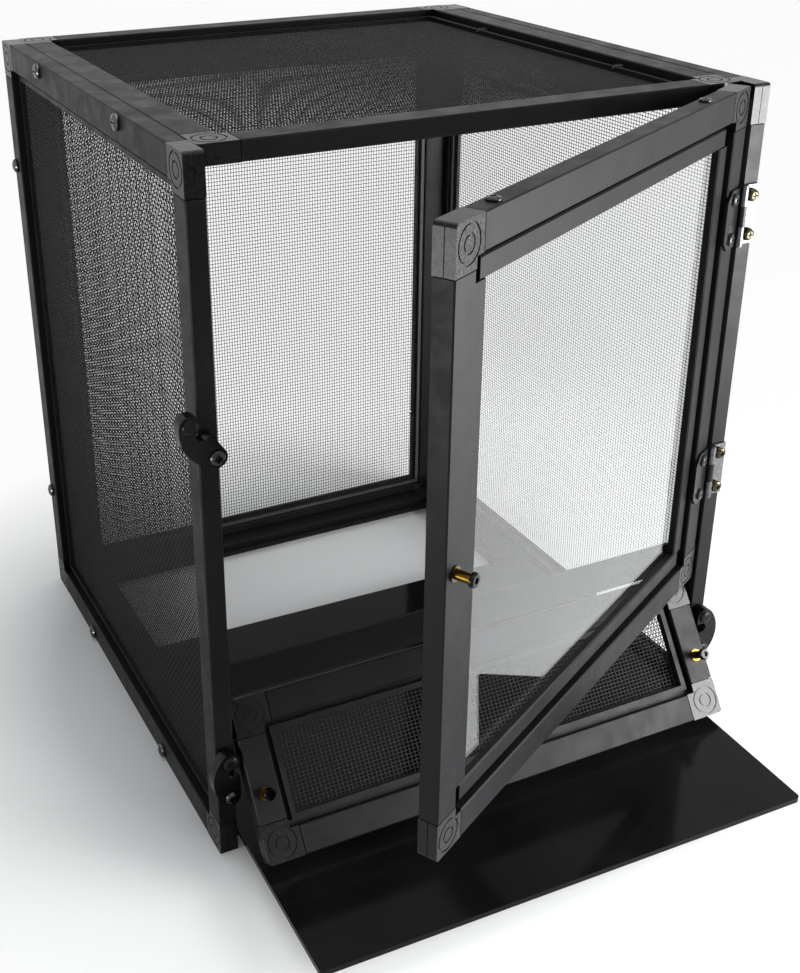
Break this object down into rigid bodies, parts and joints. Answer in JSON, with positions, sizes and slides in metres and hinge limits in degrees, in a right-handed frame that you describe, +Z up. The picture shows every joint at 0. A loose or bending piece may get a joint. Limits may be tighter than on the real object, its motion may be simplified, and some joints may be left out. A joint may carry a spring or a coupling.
{
  "type": "terrarium cabinet",
  "caption": "Upright screened cabinet for small reptiles with a hinged clear front door, a lift-out lower front panel, a slide-out tray and turn latches.",
  "frame": {"origin": "middle of the underside of the bottom frame's front rail, half way across the cabinet", "axes": "+X to the right seen from the front, +Y from the front towards the back, +Z up"},
  "size_m": [0.2669, 0.373, 0.306],
  "materials": {
    "extrusion": "satin charcoal anodised",
    "corner_plastic": "moulded black, slight gloss",
    "screen_cloth": "black coated screen wire",
    "spline_rubber": "matt black cord",
    "clear_pane": "clear sheet",
    "black_sheet": "smooth black sheet",
    "hinge_steel": "plated",
    "dark_steel": "black finish",
    "latch_plastic": "moulded black",
    "brass": "turned",
    "chrome": "bright",
    "nickel": "bright nickel"
  },
  "bodies": {
    "cabinet": {"left_stiles": "extrusion", "left_rails": "extrusion", "left_corners": "corner_plastic", "left_mesh": "screen_cloth", "left_spline": "spline_rubber", "right_stiles": "extrusion", "right_rails": "extrusion", "right_corners": "corner_plastic", "right_mesh": "screen_cloth", "right_spline": "spline_rubber", "back_stiles": "extrusion", "back_rails": "extrusion", "back_corners": "corner_plastic", "back_mesh": "screen_cloth", "back_spline": "spline_rubber", "top_stiles": "extrusion", "top_rails": "extrusion", "top_corners": "corner_plastic", "top_mesh": "screen_cloth", "top_spline": "spline_rubber", "bottom_stiles": "extrusion", "bottom_rails": "extrusion", "bottom_corners": "corner_plastic", "crossbar": "black_sheet", "crossbar_screws": "dark_steel", "hinge_post_leaves": "hinge_steel", "hinge_pins": "hinge_steel", "post_leaf_screws": "nickel", "latch_screws": "dark_steel", "left_panel_screws": "nickel", "right_panel_screws": "nickel"},
    "door": {"door_stiles": "extrusion", "door_rails": "extrusion", "door_corners": "corner_plastic", "door_pane": "clear_pane", "door_beads": "extrusion", "hinge_door_leaves": "dark_steel", "door_leaf_screws": "dark_steel", "door_stud_sleeve": "brass", "door_stud_screw": "chrome", "door_top_screws": "dark_steel"},
    "lower_panel": {"lower_stiles": "extrusion", "lower_rails": "extrusion", "lower_corners": "corner_plastic", "lower_mesh": "screen_cloth", "lower_spline": "spline_rubber", "lower_stud_sleeves": "brass", "lower_stud_screws": "chrome"},
    "tray": {"tray": "black_sheet"},
    "latch_upper_left": {"latch_upper_left": "latch_plastic"},
    "latch_lower_left": {"latch_lower_left": "latch_plastic"},
    "latch_lower_right": {"latch_lower_right": "latch_plastic"}
  },
  "joints": [
    {"name": "door_hinge", "type": "hinge", "parent": "cabinet", "child": "door", "pos_m": [0.118, -0.01665, 0.1905], "axis": [0, 0, 1], "range_deg": [-29, 101]},
    {"name": "lower_panel_tilt", "type": "hinge", "parent": "cabinet", "child": "lower_panel", "pos_m": [0, -0.00935, 0.05855], "axis": [-1, 0, 0], "range_deg": [0, 45]},
    {"name": "tray_slide", "type": "slide", "parent": "cabinet", "child": "tray", "axis": [0.0192, 0.9998, 0], "range_m": [-0.13, 0.0989]},
    {"name": "upper_left_latch", "type": "hinge", "parent": "cabinet", "child": "latch_upper_left", "pos_m": [-0.122, -0.01745, 0.1926], "axis": [0, 1, 0], "range_deg": [-55, 141]},
    {"name": "lower_left_latch", "type": "hinge", "parent": "cabinet", "child": "latch_lower_left", "pos_m": [-0.123, -0.01745, 0.035], "axis": [0, 1, 0], "range_deg": [-110, 2]},
    {"name": "lower_right_latch", "type": "hinge", "parent": "cabinet", "child": "latch_lower_right", "pos_m": [0.123, -0.01745, 0.035], "axis": [0, 1, 0], "range_deg": [-2, 110]}
  ]
}
